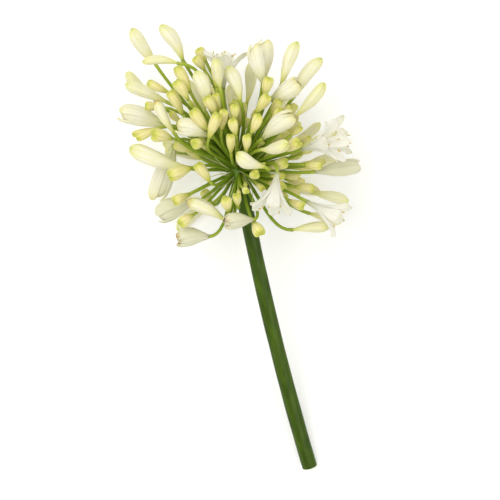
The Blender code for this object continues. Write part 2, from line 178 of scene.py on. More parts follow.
# kind, bearing and lift of the base from the umbel's middle and its distance, then the floret's own
# bearing, lift, length and width
seenFlorets = (
    (closed, -24, 2, 104, -20, 4, 31, 11), (closed, -13, 6, 94, -19, 6, 31, 11),
    (closed, -32, -2, 76, -53, -4, 35, 10.5), (opening, -44, 2, 66, -60, 0, 36, 15.5),
    (closed, -72, 17, 41, -57, -6, 46, 13), (opening, -53, -13, 55, -145, -18, 46, 17),
    (closed, -16, 16, 95, -75, 6, 26, 7.5), (closed, -35, -12, 94, -32, -8, 25, 9),
    (closed, -46, 30, 64, -15, 10, 27, 8.5), (opened, 3, 10, 64, 17, 8, 32, 38),
    (opened, 4, -17, 62, 4, -12, 34, 33), (closed, -11, 30, 61, -8, 10, 27, 11.5),
    (closed, 15, 35, 62, -6, 8, 27, 10.5), (closed, 1, 36, 76, 4, 26, 22, 9),
    (opening, 23, 4, 71, 10, 6, 31, 13), (opening, 30, 25, 73, 0, 8, 30, 12),
    (opening, 38, 22, 62, 74, 12, 25, 14.5), (opening, -29, 48, 51, -58, 12, 24, 13.5),
    (opening, -110, -8, 43, -95, -4, 29, 17), (closed, -150, 36, 47, -49, 6, 31, 11.5),
    (opening, -141, 4, 54, -80, 4, 25, 15), (opening, 179, 38, 48, -81, 30, 24, 12.5),
    (closed, 99, 69, 52, -51, 22, 24, 11.5), (opened, 108, 55, 49, -159, 10, 34, 36),
    (opening, 52, 57, 53, 70, 30, 32, 14), (closed, 40, 14, 74, 34, 10, 34, 11),
    (closed, 50, 4, 70, 50, 2, 36, 11), (closed, 60, 26, 64, 56, 20, 34, 10),
    (opened, 82, -6, 54, 88, -4, 39, 35), (opened, 86, 36, 60, 90, 30, 36, 37),
    (opening, 104, 10, 58, 96, 4, 34, 12.5), (opened, 128, 18, 58, 132, 12, 36, 33),
    (closed, 150, 12, 60, 104, 2, 28, 8.5), (closed, 134, -6, 62, 118, -10, 26, 8.5),
    (closed, 64, 66, 54, 96, 48, 28, 10),
)
# young buds, in the same form
seenYoung = (
    (-47, -5, 70, -90, 2, 22, 6), (-47, 7, 68, -102, 6, 21, 6), (-48, 27, 62, -70, 42, 19, 10.5),
    (-73, 34, 43, -98, 20, 19, 10.5), (-97, 50, 36, -22, 20, 18, 8.5), (-31, 20, 63, -16, 14, 21, 8.5),
    (-18, 21, 73, -15, 12, 22, 8.5), (-28, 9, 80, -49, 6, 18, 7), (-22, 28, 72, -20, 24, 18, 8.5),
    (-37, 9, 77, -76, 20, 12, 7.5), (-24, 49, 56, -24, 22, 20, 9), (-40, 49, 50, -76, 55, 12, 8.5),
    (-30, 56, 56, 36, 20, 21, 8.5), (-10, 52, 51, 22, 24, 17, 7.5), (0, 24, 70, 18, 12, 20, 9),
    (-8, 42, 59, -17, 22, 16, 8.5), (-3, 37, 56, -2, 16, 15, 7), (9, 50, 57, 18, 34, 13, 7.5),
    (9, 62, 53, 3, 36, 15, 7.5), (-1, 71, 45, 11, 28, 15, 7), (33, 30, 67, 26, 20, 15, 8.5),
    (31, 42, 59, 47, 24, 17, 8.5), (33, 58, 52, 37, 26, 17, 8), (55, 69, 45, 21, 34, 15, 7),
    (42, 28, 55, 47, 20, 13, 7.5), (-120, 21, 51, -110, 30, 14, 9), (-101, 24, 45, -103, 20, 14, 8.5),
    (-149, 41, 46, 8, 44, 13, 8.5), (-161, 51, 43, 1, 40, 12, 6.5), (178, 31, 46, 163, 34, 14, 9.5),
    (-122, -11, 33, -26, 6, 12, 8), (-5, 11, 81, -24, 16, 13, 7.5), (1, 3, 88, -13, 14, 12, 8),
)
# bent over by the table: bearing and distance of the base from the origin, own bearing, length, width
restingFlorets = (
    (180, 23, 0, 34, 11), (52, 30, 58, 35, 10.5), (118, 32, 112, 33, 10),
    (-122, 32, -114, 34, 10.5), (-50, 30, -56, 36, 11), (8, 38, 6, 34, 10.5),
)
spacing = {
    "seed": 11,
    "goldenAngle": radians(137.508),
    "flowerGap": 1,
    "budGap": 0.3,
    "tableGap": 0.8,
    "pressedDepth": 0.35,
    "mostNudges": 60,
    "barePlaces": ((-13, 6, 20, 63), (-47, -6, 33, 12)),  # middle, radius and lowest height
    "coverEdge": 1.5,
    "nodeReach": 12,  # from the middle of an open flower to that of its node's box
}
# the hidden half is filled along a spiral, with the low florets bent outwards by the table
filling = {
    "count": 66,
    "farAngle": 128,
    "nearest": 17,
    "most": 59,
    "kinds": (closed, closed, opening, closed),
    "stalks": (52, 64),
    "lengths": (27, 36),
    "openingWidth": 12.5,
    "lowLift": -0.28,
    "lowDrop": 46,
    "lowBend": 0.35,
    "seenSide": (12, 58),
}
# young buds, and the last ones to form, which are packed between the stalks near the middle
youngRules = {
    "seed": (11, 29),
    "count": (156, 90),
    "farAngle": (124, 112),
    "stalks": ((30, 66), (17, 36)),
    "stalkBias": (1.6, 1),
    "lengths": ((10, 20), (4.5, 8)),
    "lean": (0.25, 0.3),
    "lowestTip": (14, 12),
    "stalkToo": (True, False),
    "most": (95, 44),
}


def turnedTo(base, axis):
    return Matrix.Translation(base) @ axis.to_track_quat("Z", "Y").to_matrix().to_4x4()


# compared by identity, so that each can be a key of the caches
@dataclass(eq=False)
class Floret:
    kind: str
    base: Vector
    axis: Vector
    length: float
    width: float

    def at(self, share):
        return self.base + self.axis * (self.length * share)

    def frame(self):
        return turnedTo(self.base, self.axis)


def heading(bearing, lift):
    turn, rise = radians(bearing), radians(lift)
    return Vector((sin(turn) * cos(rise), cos(turn) * cos(rise), sin(rise)))


def spiral(count, farAngle):
    # directions spread evenly round the umbel's axis, up to the far angle from it
    least = cos(radians(farAngle))
    turn = umbelAxis.to_track_quat("Z", "Y")
    for index in range(count):
        along = 1 - (1 - least) * (index + 0.5) / count
        around = index * spacing["goldenAngle"]
        across = sqrt(1 - along * along)
        yield turn @ Vector((across * cos(around), across * sin(around), along))


def stalkRoute(floret, count):
    reach = floret.base - umbelCentre
    root = umbelCentre + reach.normalized() * (plant["rootSpread"] * mm)
    leaving = umbelCentre + reach * 0.4 + umbelAxis * (reach.length * 0.06)
    arriving = floret.base - floret.axis * (reach.length * 0.3)
    return interpolate_bezier(root, leaving, arriving, floret.base, count)


def flowerRadius(share, width):
    base = flower["baseRadius"] * mm
    return base + (width / 2 - base) * share ** flower["flare"]


def flowerHeight(share, length):
    return length * (share - flower["tipCurl"] * share**5)


def placed(place, radius, angle, height, lean=0):
    # turned and moved to its floret, and pressed flat where it meets the table
    matrix = np.array(place)
    points = np.stack([radius * np.cos(angle) + lean, radius * np.sin(angle), height], 1)
    world = points @ matrix[:3, :3].T + matrix[:3, 3]
    world[:, 2] = np.maximum(world[:, 2], 0)
    return world


@cache
def bodyBalls(floret):
    # a row of x, y, z and radius for each ball
    if floret.kind != opened:
        shares = np.linspace(0.1, 0.95, 8)
        girths = np.interp(shares, *zip(*budShapes[floret.kind])) * floret.width / 2
        return np.column_stack([[floret.at(share) for share in shares], girths])
    around = np.repeat(np.arange(0.5, 6) * tau / 6, 5)
    share = np.tile((0.15, 0.35, 0.55, 0.75, 0.95), 6)
    radius = flowerRadius(share, floret.width)
    points = placed(floret.frame(), radius, around, flowerHeight(share, floret.length))
    return np.column_stack([points, np.minimum(radius, flower["tepalReach"] * mm)])


@cache
def stalkBalls(floret):
    route = stalkRoute(floret, 12)[3:-1]
    return np.column_stack([route, [plant["pedicelRadius"] * mm] * len(route)])


def gaps(first, second, axes=3):
    apart = np.linalg.norm(first[:, None, :axes] - second[:, :axes], axis=2)
    return apart - first[:, None, 3] - second[:, 3]


def isClear(floret, others, stalkToo=True):
    body = bodyBalls(floret)
    whole = np.concatenate([body, stalkBalls(floret)]) if stalkToo else body
    for other in others:
        least = spacing["flowerGap" if opened in (floret.kind, other.kind) else "budGap"] * mm
        if gaps(whole, bodyBalls(other)).min() < least or gaps(body, stalkBalls(other)).min() < least:
            return False
    return True


def fitted(floret, others, draw):
    # nudged further each time until it is clear of the others
    reach = floret.base - umbelCentre
    for attempt in range(spacing["mostNudges"]):
        shift, turn = [drawVector(draw, 1) * radians(0.6 * attempt) for _ in range(2)]
        base = umbelCentre + (reach.normalized() + shift).normalized() * reach.length
        trial = replace(floret, base=base, axis=(floret.axis + turn).normalized())
        low = (bodyBalls(trial)[:, 2] - bodyBalls(trial)[:, 3]).min()
        if low > spacing["tableGap"] * mm and isClear(trial, others):
            return trial


def laySeenFlorets(rows, others, draw):
    found = []
    for kind, bearing, lift, reach, ownBearing, ownLift, length, width in rows:
        base = umbelCentre + heading(bearing, lift) * (reach * mm)
        floret = Floret(kind, base, heading(ownBearing, ownLift), length * mm, width * mm)
        floret = fitted(floret, others + found, draw)
        if floret:
            found.append(floret)
    return found


def layFillingFlorets(others, young, draw):
    found = []
    seenEast, seenHeight = filling["seenSide"]
    for course in spiral(filling["count"], filling["farAngle"]):
        reach, length = draw.uniform(*filling["stalks"]), draw.uniform(*filling["lengths"])
        kind = filling["kinds"][len(found) % len(filling["kinds"])]
        if any(degrees(course.angle(other.base - umbelCentre)) < filling["nearest"]
               for other in others + found):
            continue
        axis = course.copy()
        if course.z < filling["lowLift"]:
            kind = closed
            reach = min(reach, filling["lowDrop"] / -course.z)
            axis.z *= filling["lowBend"]
            axis.normalize()
        width = filling["openingWidth"] if kind == opening else 0.3 * length
        floret = Floret(kind, umbelCentre + course * (reach * mm), axis, length * mm, width * mm)
        if floret.base.x < seenEast * mm and floret.base.z > seenHeight * mm or isOverBareStalks(floret):
            continue
        floret = fitted(floret, others + young + found, draw)
        if floret and len(others) + len(found) < filling["most"]:
            found.append(floret)
    return found


def isOverBareStalks(floret):
    middle = floret.at(0.5)
    return any(middle.z > height * mm and (middle.xy - Vector((x, y)) * mm).length < radius * mm
               for x, y, radius, height in spacing["barePlaces"])


def hidesOne(floret, seen):
    # true if the floret would cover one of those seen, from above
    body = bodyBalls(floret)
    for other in seen:
        under = bodyBalls(other)
        hidden = gaps(body, under, 2) < -spacing["coverEdge"] * mm
        if (hidden & (body[:, None, 2] > under[:, 2])).any():
            return True
    return False


def layYoungFlorets(which, others, young, seen):
    rule = {name: values[which] for name, values in youngRules.items()}
    draw = Random(rule["seed"])
    found = list(young)
    near, far = rule["stalks"]
    for course in spiral(rule["count"], rule["farAngle"]):
        reach = (near + (far - near) * draw.random() ** rule["stalkBias"]) * mm
        length = draw.uniform(*rule["lengths"]) * mm
        width = min(0.5 * length, 3.2 * mm + 0.27 * length)
        axis = (course + drawVector(draw, rule["lean"])).normalized()
        floret = Floret("youngBud", umbelCentre + course * reach, axis, length, width)
        if floret.at(1).z < rule["lowestTip"] * mm or isOverBareStalks(floret) or hidesOne(floret, seen):
            continue
        if len(found) < rule["most"] and isClear(floret, others + found, rule["stalkToo"]):
            found.append(floret)
    return found


draw = Random(spacing["seed"])
florets = []
for bearing, reach, ownBearing, length, width in restingFlorets:
    base = heading(bearing, 0) * (reach * mm)
    base.z = (width / 2 * cos(pi / 6) - spacing["pressedDepth"]) * mm
    florets.append(Floret(closed, base, heading(ownBearing, 0), length * mm, width * mm))
seenLarge = laySeenFlorets(seenFlorets, florets, draw)
youngFlorets = laySeenFlorets([("youngBud", *row) for row in seenYoung], florets + seenLarge, draw)
florets += seenLarge
florets += layFillingFlorets(florets, youngFlorets, draw)
youngFlorets = layYoungFlorets(0, florets, youngFlorets, seenLarge + youngFlorets)
tinyFlorets = layYoungFlorets(1, florets + youngFlorets, (), ())
closedFlorets, openingFlorets, openFlorets = [
    [floret for floret in florets if floret.kind == kind] for kind in (closed, opening, opened)]
flowerNodes = [f"open_flower_{index:02d}" for index in range(1, len(openFlorets) + 1)]
for floret, node in zip(openFlorets, flowerNodes):
    low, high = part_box(node)
    if ((low + high) / 2 - floret.at(0.5)).length > spacing["nodeReach"] * mm:
        print(node, "is not where its flower is")
print(len(closedFlorets), "closed,", len(openingFlorets), "opening,", len(openFlorets), "open,",
      len(youngFlorets), "young and", len(tinyFlorets), "tiny")


# Forms: one mesh of each kind, whose points are then laid along each floret

def turnedForm(shares, sides):
    # a tube of radius 1 and length 1, closed at both ends, with u round it and v along it
    shape = bmesh.new()
    profile = [(0, shares[0])] + [(1, share) for share in shares] + [(0, shares[-1])]
    corners = [shape.verts.new((radius, 0, share)) for radius, share in profile]
    edges = [shape.edges.new(pair) for pair in zip(corners, corners[1:])]
    bmesh.ops.spin(shape, geom=corners + edges, axis=(0, 0, 1), cent=(0, 0, 0), angle=tau,
                   steps=sides, use_merge=True)
    bmesh.ops.remove_doubles(shape, verts=shape.verts, dist=0.00001)
    bmesh.ops.recalc_face_normals(shape, faces=shape.faces)
    layer = shape.loops.layers.uv.new("alongUv")
    for face in shape.faces:
        centre = face.calc_center_median()
        middle = atan2(centre.y, centre.x) / tau
        for loop in face.loops:
            point = loop.vert.co
            around = atan2(point.y, point.x) / tau if point.xy.length > 0.01 else middle
            loop[layer].uv = (around - round(around - middle) + 0.5, point.z)
    return formMesh(shape)


def bladeForm(columns, rows):
    # a flat sheet, x from -1 to 1 across it and y from 0 to 1 along it
    shape = bmesh.new()
    layer = shape.loops.layers.uv.new("alongUv")
    bmesh.ops.create_grid(shape, x_segments=columns, y_segments=rows, size=0.5)
    for vertex in shape.verts:
        # rows lie closer together towards the tip, which is round
        vertex.co = (vertex.co.x * 2, 1 - (0.5 - vertex.co.y) ** 1.5, 0)
    for face in shape.faces:
        for loop in face.loops:
            loop[layer].uv = (loop.vert.co.x / 2 + 0.5, loop.vert.co.y)
    return formMesh(shape)


def formMesh(shape):
    mesh = bpy.data.meshes.new("form")
    shape.to_mesh(mesh)
    shape.free()
    points = np.zeros(len(mesh.vertices) * 3, np.float32)
    mesh.vertices.foreach_get("co", points)
    for name in ("tone", "wither"):
        mesh.attributes.new(name, "FLOAT", "POINT")
    return mesh, points.reshape(-1, 3).astype(float)


def addCopy(target, form, points, tone=0.5, wither=0.0):
    # a copy of the form with its points moved, joined to the target
    mesh = form[0].copy()
    mesh.vertices.foreach_set("co", points.astype(np.float32).ravel())
    for name, value in (("tone", tone), ("wither", wither)):
        mesh.attributes[name].data.foreach_set("value", np.full(len(points), value, np.float32))
    target.from_mesh(mesh)
    bpy.data.meshes.remove(mesh)


def turnedPlaces(form):
    # angle and share of each point of a turned form, and whether it is off the axis
    x, y, share = form[1].T
    return np.arctan2(y, x), share, np.hypot(x, y) > 0.5


def between(shares, values):
    # values are vectors at even shares
    values = np.array(values)
    even = np.linspace(0, 1, len(values))
    return np.stack([np.interp(shares, even, column) for column in values.T], 1)


def alongRoute(form, route, radii):
    # lays a turned form along a route; radii are pairs of share and millimetres
    points = form[1]
    tangents = [Vector(tangent).normalized() for tangent in np.gradient(np.array(route), axis=0)]
    turns = [tangents[0].to_track_quat("Z", "Y")]
    for before, after in zip(tangents, tangents[1:]):
        turns.append(before.rotation_difference(after) @ turns[-1])
    centres, across, upward = [between(points[:, 2], values) for values in (
        route, *[[turn @ Vector(side) for turn in turns] for side in ((1, 0, 0), (0, 1, 0))])]
    radius = np.interp(points[:, 2], *zip(*radii))[:, None] * mm
    world = centres + (across * points[:, :1] + upward * points[:, 1:2]) * radius
    world[:, 2] = np.maximum(world[:, 2], 0)
    return world


def addTube(target, form, route, radii, tone=0.5):
    addCopy(target, form, alongRoute(form, route, radii), tone)


# Closed buds: six tepals folded together, three over three, with a blunt ridged tip

closedBud = {
    "sides": 48,
    "shares": (0, 0.03, 0.09, 0.17, 0.26, 0.35, 0.44, 0.53, 0.62, 0.7, 0.78, 0.85, 0.9, 0.945, 0.975,
               0.993, 1),
    "girthShares": (0, 0.05, 0.12, 0.2, 0.31, 0.42, 0.54, 0.66, 0.76, 0.84, 0.9, 0.945, 0.975, 0.992, 1),
    "girths": (0.26, 0.29, 0.4, 0.54, 0.71, 0.85, 0.94, 0.98, 0.96, 0.87, 0.74, 0.57, 0.39, 0.22, 0.03),
    "widestShift": (0.88, 1.2),
    "overlapDepth": 0.48,
    "ridge": 0.2,
    "groove": 0.1,
    "unevenness": 0.055,
    "belly": 0.1,
    "bend": 2.4,
    "witherChance": 0.1,
}


def closedBudPoints(floret, form, draw):
    angle, share, offAxis = turnedPlaces(form)
    shifted = share ** draw.uniform(*closedBud["widestShift"])
    radius = np.interp(shifted, closedBud["girthShares"], closedBud["girths"]) * floret.width / 2
    # outer tepals stand proud of the inner ones between them, more so towards the tip
    fromRib = np.abs((np.degrees(angle) + 60) % 120 - 60)
    size = floret.width / 10
    depth = closedBud["overlapDepth"] * size * ramp(0.28, 0.6, share)
    radius -= depth * ramp(37, 44, fromRib) * (1 - 0.6 * ramp(0.94, 1, share))
    radius += closedBud["ridge"] * size * np.exp(-(fromRib / 9) ** 2) * ramp(0.2, 0.7, share)
    radius -= closedBud["groove"] * size * np.exp(-((fromRib - 60) / 7) ** 2) * ramp(0.4, 0.7, share)
    uneven = closedBud["unevenness"]
    radius *= 1 + uneven * np.sin(angle * 2 + draw.uniform(0, 6)) * ramp(0.1, 0.5, share)
    radius *= 1 + uneven / 2 * np.sin(share * 11 + draw.uniform(0, 6)) * ramp(0.1, 0.4, share)
    radius *= 1 + closedBud["belly"] * np.cos(angle - draw.uniform(0, 6)) * ramp(0.15, 0.6, share)
    radius = np.where(offAxis, np.maximum(radius, 0.1 * mm), 0)
    # the three outer tips end a little higher than the inner ones
    height = floret.length * (0.985 * share + 0.012 * np.cos(3 * angle) * ramp(0.9, 1, share) * offAxis)
    lean = closedBud["bend"] * mm * draw.uniform(-1, 1) * (share**2 - share) * 4
    return placed(floret.frame(), radius, angle + draw.uniform(0, tau), height, lean)


def buildClosedBuds(material):
    draw = Random(21)
    form = turnedForm(closedBud["shares"], closedBud["sides"])
    shape = bmesh.new()
    for floret in closedFlorets:
        # slim buds are younger and greener
        tone = min(1, max(0, 1.25 - floret.width / (9.5 * mm) + draw.uniform(-0.25, 0.25)))
        wither = draw.uniform(0.5, 1) if draw.random() < closedBud["witherChance"] else 0
        addCopy(shape, form, closedBudPoints(floret, form, draw), tone, wither)
    addPiece("closedBuds", shape, material)


# Young buds: small clubs with three lobes, cream where they are big and green where they are small

youngBud = {
    "sides": 18,
    "shares": (0, 0.06, 0.18, 0.32, 0.48, 0.63, 0.77, 0.87, 0.94, 0.98, 1),
    "tinySides": 9,
    "tinyShares": (0, 0.2, 0.5, 0.77, 0.92, 1),
    "girthShares": (0, 0.1, 0.22, 0.36, 0.5, 0.64, 0.76, 0.86, 0.93, 0.98, 1),
    "girths": (0.34, 0.42, 0.58, 0.78, 0.92, 0.99, 1, 0.94, 0.79, 0.52, 0.12),
    "lobes": 0.1,
    "lobeRise": 0.045,
}


def youngBudPoints(floret, form, draw):
    angle, share, offAxis = turnedPlaces(form)
    radius = np.interp(share, youngBud["girthShares"], youngBud["girths"]) * floret.width / 2
    radius *= 1 + youngBud["lobes"] * (np.cos(3 * angle) - 0.3) * ramp(0.25, 0.8, share)
    blunt = 0.93 + 0.04 * draw.random()
    rise = youngBud["lobeRise"] * np.cos(3 * angle) * np.exp(-((share - 0.93) / 0.08) ** 2)
    height = floret.length * (blunt * share + rise * offAxis)
    lean = draw.uniform(-0.6, 0.6) * mm * (share**2 - share) * 4
    return placed(floret.frame(), radius * offAxis, angle + draw.uniform(0, tau), height, lean)


def buildYoungBuds(material):
    draw = Random(22)
    shape = bmesh.new()
    for group, shares, sides in ((youngFlorets, "shares", "sides"), (tinyFlorets, "tinyShares", "tinySides")):
        form = turnedForm(youngBud[shares], youngBud[sides])
        for floret in group:
            tone = min(1, max(0, 1.15 - floret.length / (14 * mm) + draw.uniform(-0.2, 0.2)))
            addCopy(shape, form, youngBudPoints(floret, form, draw), tone)
    addPiece("youngBuds", shape, material)


# Tepals of opening buds and open flowers: thin blades, three outer ones over three inner ones

tepal = {
    "columns": 12,
    "rows": 22,
    "thickness": 0.36,
    "openHalfAngle": 33,
    "openingHalfAngle": 43,
    "layerGap": 0.42,
    "crease": 0.55,
    "wave": 0.55,
    "girthShares": (0, 0.08, 0.2, 0.36, 0.5, 0.64, 0.76, 0.86, 0.94, 1),
    "girths": (0.22, 0.31, 0.51, 0.77, 0.92, 0.98),
    "partedGirths": (0.97, 0.9, 0.75, 0.5),
    "closedGirths": (0.95, 0.8, 0.5, 0.03),
    "partedMouths": 0.3,
    "bend": 1.6,
    "witherSeed": 3670,
    "witherChance": 0.3,
    # painted shade for the opening buds whose base lies further towards the stem than this, by a raised tone
    "paintedShadeBelow": -12,
    "paintedShadeTone": 1.25,
}


def openingTepalPoints(floret, form, number, parted, bend, wither, draw):
    across, share = form[1][:, :2].T
    inner = number % 2
    closed = inner and not parted
    girths = tepal["girths"] + tepal["closedGirths" if closed else "partedGirths"]
    girth = np.interp(share, tepal["girthShares"], girths) * floret.width / 2
    # rounded tip: the blade narrows over its last fifth
    outline = np.sqrt(np.clip(1 - np.clip((share - 0.78) / 0.225, 0, 1) ** 2.4, 0, 1))
    # a blade keeps its width where the bud narrows, so it reaches further round
    spread = np.minimum(floret.width * 0.45 / girth, 2.5 if closed else 1.7)
    spread *= radians(tepal["openingHalfAngle"] - 3 * inner)
    angle = number * tau / 6 + across * np.where(share > 0.6, np.maximum(spread, 0.7), 0.7) * outline
    flare = draw.uniform(-0.5, 1) * mm * (0.4 if inner else 1)
    radius = girth - inner * tepal["layerGap"] * mm * ramp(0.05, 0.3, share)
    radius += flare * ramp(0.75, 1, share) ** 2
    radius += 0.2 * mm * (1 - across**2) * ramp(0.2, 0.7, share)
    radius += 0.22 * mm * np.sin(9 * share + draw.uniform(0, 6)) * across**2 * ramp(0.6, 0.9, share)
    # a dry tip is shrunken and crumpled
    crumple = wither * mm * ramp(0.7, 0.95, share)
    radius += crumple * (1.1 * np.sin(16 * share + 5 * across + 1.7 * number) - 0.6)
    height = floret.length * (share * (1 - 0.03 * inner) - 0.01 * across**2 * ramp(0.7, 1, share))
    height -= crumple * (1.4 + 0.9 * np.sin(6 * across + 2.3 * number))
    return placed(floret.frame(), radius, angle, height, bend * (share**2 - share) * 4)


def buildOpeningBuds(material):
    draw, witherDraw = Random(23), Random(tepal["witherSeed"])
    form = bladeForm(tepal["columns"], tepal["rows"])
    shape = bmesh.new()
    for floret in openingFlorets:
        # painted shade: the low ones, towards the stem, get a raised tone and so the dull greener colour
        tone = draw.uniform(0, 0.2) + (tepal["paintedShadeTone"] if floret.base.y < tepal["paintedShadeBelow"] * mm else 0)
        wither = witherDraw.uniform(0.25, 0.75) if witherDraw.random() < tepal["witherChance"] else 0
        bend = tepal["bend"] * mm * draw.uniform(-1, 1)
        for number in range(6):
            points = openingTepalPoints(floret, form, number, floret in partedFlorets, bend, wither, draw)
            addCopy(shape, form, points, tone, wither)
    thicken(addPiece("openingBuds", shape, material), tepal["thickness"])


def openTepalPoints(floret, form, number, draw):
    across, share = form[1][:, :2].T
    inner = number % 2
    radius = flowerRadius(share, floret.width * draw.uniform(0.9, 1))
    height = flowerHeight(share, floret.length)
    # a tube up to a third of the length, then a blade with a blunt round tip
    blade = np.interp(share, (0, 0.3, 0.42, 0.55, 0.68, 0.8, 0.9), (1.04, 1.02, 0.98, 0.93, 0.84, 0.72, 0.62))
    blade *= np.sqrt(np.clip(1 - np.clip((share - 0.8) / 0.201, 0, 1) ** 2.2, 0, 1))
    spread = radians(tepal["openHalfAngle"]) * (1.08 if inner else 0.9)
    angle = (number + 0.5) * tau / 6 + across * spread * blade
    angle += draw.uniform(-0.09, 0.09) * ramp(0.3, 1, share)
    radius -= inner * 0.3 * mm * ramp(0, 0.1, share)
    parted = ramp(0.3, 0.75, share)
    radius += tepal["crease"] * mm * parted * (1 - np.abs(across)) ** 2
    wave = tepal["wave"] * np.sin(9 * share + draw.uniform(0, 6)) * across * np.abs(across)
    height += (wave + draw.uniform(-1, 1) * across - 1.5 * across**2) * mm * parted
    height += draw.uniform(-1.3, 1.3) * mm * ramp(0.5, 1, share)
    radius -= draw.uniform(-0.4, 1.4) * mm * ramp(0.82, 1, share) ** 2
    return placed(floret.frame(), radius, angle, height)


def buildOpenFlowers(material):
    form = bladeForm(tepal["columns"], tepal["rows"])
    for index, (floret, node) in enumerate(zip(openFlorets, flowerNodes), 1):
        draw = Random(30 + index)
        shape = bmesh.new()
        for number in range(6):
            addCopy(shape, form, openTepalPoints(floret, form, number, draw), draw.uniform(0, 0.3))
        piece = addPiece(f"openFlower{index:02d}", shape, material, slot="open_flower", nodes=(node,))
        thicken(piece, tepal["thickness"])


# Stamens and styles of the open flowers: curved filaments with small anthers

stamen = {
    "filamentRadius": 0.32,
    "length": 0.82,
    "spread": 0.34,
    "antherLength": 2.4,
    "antherRadius": 0.5,
    "styleRadius": 0.34,
    "styleLength": 0.72,
    "mouthRadius": 1.3,
    "mouthShares": (0.78, 0.88),
    "throatShare": 0.16,
    "antherShares": (0, 0.15, 0.5, 0.85, 1),
    "antherGirths": ((0, 0.3), (0.12, 0.85), (0.5, 1), (0.88, 0.85), (1, 0.3)),
}


def stamenRoute(floret, angle, length, spread, droop):
    # from the throat's wall outwards and up, with the tips curved in towards the axis
    place, throat, steps = floret.frame(), stamen["throatShare"], np.linspace(0, 1, 9)
    radius = flowerRadius(throat, floret.width) * 0.7 + floret.width / 2 * spread * steps**1.5
    height = floret.length * (throat + (length - throat) * steps)
    return [place @ Vector(point)
            for point in zip(radius * cos(angle) + droop * steps**2, radius * sin(angle), height)]


def addAnther(anthers, form, route, draw):
    # an anther swings on the end of its filament
    lean = ((route[-1] - route[-2]).normalized() + drawVector(draw, 0.9)).normalized()
    half = lean * (stamen["antherLength"] * mm / 2)
    ends = [route[-1] - half + half * (step / 2) for step in range(5)]
    radii = [(share, girth * stamen["antherRadius"]) for share, girth in stamen["antherGirths"]]
    addTube(anthers, form, ends, radii, draw.random())


def buildStamens(white, pollen):
    draw = Random(24)
    thread = turnedForm(np.linspace(0, 1, 9), 6)
    anther = turnedForm(stamen["antherShares"], 7)
    filaments, anthers, styles = bmesh.new(), bmesh.new(), bmesh.new()
    radius, girth = stamen["filamentRadius"], stamen["styleRadius"]
    for floret in openFlorets:
        droop = draw.uniform(-2, 2) * mm
        for number in range(6):
            angle = (number + 0.5) * tau / 6 + draw.uniform(-0.2, 0.2)
            length = stamen["length"] * draw.uniform(0.86, 1.04)
            route = stamenRoute(floret, angle, length, stamen["spread"] * draw.uniform(0.8, 1.2), droop)
            addTube(filaments, thread, route, ((0, radius * 1.3), (1, radius * 0.6)))
            addAnther(anthers, anther, route, draw)
        route = stamenRoute(floret, 0.4, stamen["styleLength"], 0.05, -droop)
        addTube(styles, thread, route, ((0, girth * 1.2), (0.93, girth * 0.8), (1, girth * 1.5)))
    for name, shape, material in (("stamenFilaments", filaments, white),
                                  ("anthers", anthers, pollen), ("styles", styles, white)):
        addPiece(name, shape, material, slot="open_flower", nodes=flowerNodes)


def buildBudStamens(white, pollen):
    # what shows in the mouth of a bud whose tips have parted
    draw = Random(36)
    thread = turnedForm((0, 0.5, 1), 5)
    anther = turnedForm(stamen["antherShares"], 6)
    filaments, anthers = bmesh.new(), bmesh.new()
    radius = stamen["filamentRadius"]
    for floret in partedFlorets:
        place = floret.frame()
        for number in range(6):
            angle = number * tau / 6 + draw.uniform(-0.3, 0.3)
            outward = Vector((cos(angle), sin(angle), 0)) * stamen["mouthRadius"] * mm
            top = draw.uniform(*stamen["mouthShares"]) * floret.length
            route = [place @ (outward * (0.5 + 0.25 * step) + Vector((0, 0, top * (0.6 + 0.2 * step))))
                     for step in range(3)]
            addTube(filaments, thread, route, ((0, radius), (1, radius * 0.7)))
            addAnther(anthers, anther, route, draw)
    addPiece("budFilaments", filaments, white)
    addPiece("budAnthers", anthers, pollen)


# Pedicels: a stalk to every floret, thicker at its root and under the floret

pedicel = {
    "sides": 8,
    "rings": 13,
    "youngSides": 6,
    "youngRings": 9,
    "routeSteps": 33,
    "radii": ((0, 1.6), (0.12, 1.4), (0.5, 1.25), (0.86, 1.2), (0.96, 1.35), (1, 1.45)),
    "youngRadii": ((0, 1.4), (0.12, 1.25), (0.5, 1.1), (0.9, 1.1), (1, 1.25)),
    "tinyRadii": ((0, 1), (0.5, 0.8), (1, 0.8)),
}


def buildPedicels(material):
    draw = Random(25)
    large = turnedForm(np.linspace(0, 1, pedicel["rings"]), pedicel["sides"])
    small = turnedForm(np.linspace(0, 1, pedicel["youngRings"]), pedicel["youngSides"])
    shape = bmesh.new()
    for group, form, radii in ((florets, large, "radii"), (youngFlorets, small, "youngRadii"),
                               (tinyFlorets, small, "tinyRadii")):
        for floret in group:
            route = stalkRoute(floret, pedicel["routeSteps"])
            route[-1] = floret.at(0.012)
            addTube(shape, form, route, pedicel[radii], draw.random())
    addPiece("pedicels", shape, material)


# The receptacle, the dry scar that the fallen sheath leaves round it, and thread-like bracteoles

receptacle = {
    "sides": 40,
    "stations": ((-9, 5.65), (-7.4, 5.75), (-5.5, 6.2), (-3.2, 7.1), (-1, 7.8), (1.2, 7.6), (3.2, 7),
                 (5, 5.8), (6.1, 4.3), (6.8, 2.4), (7, 0.6)),
    "scarAlong": -5.9,
    "scarRadius": 6.35,
    "scarHeight": 2.2,
    "scarThickness": 0.25,
    "threadLengths": (16, 38),
    "threadRadius": 0.3,
    "threadSteps": 11,
}


def buildReceptacle(material):
    along, radii = np.array(receptacle["stations"]).T
    shares = (along - along[0]) / (along[-1] - along[0])
    form = turnedForm(shares, receptacle["sides"])
    route = [umbelCentre + umbelAxis * (place * mm) for place in (along[0], along[-1])]
    shape = bmesh.new()
    addTube(shape, form, route, list(zip(shares, radii)))
    addPiece("receptacle", shape, material)


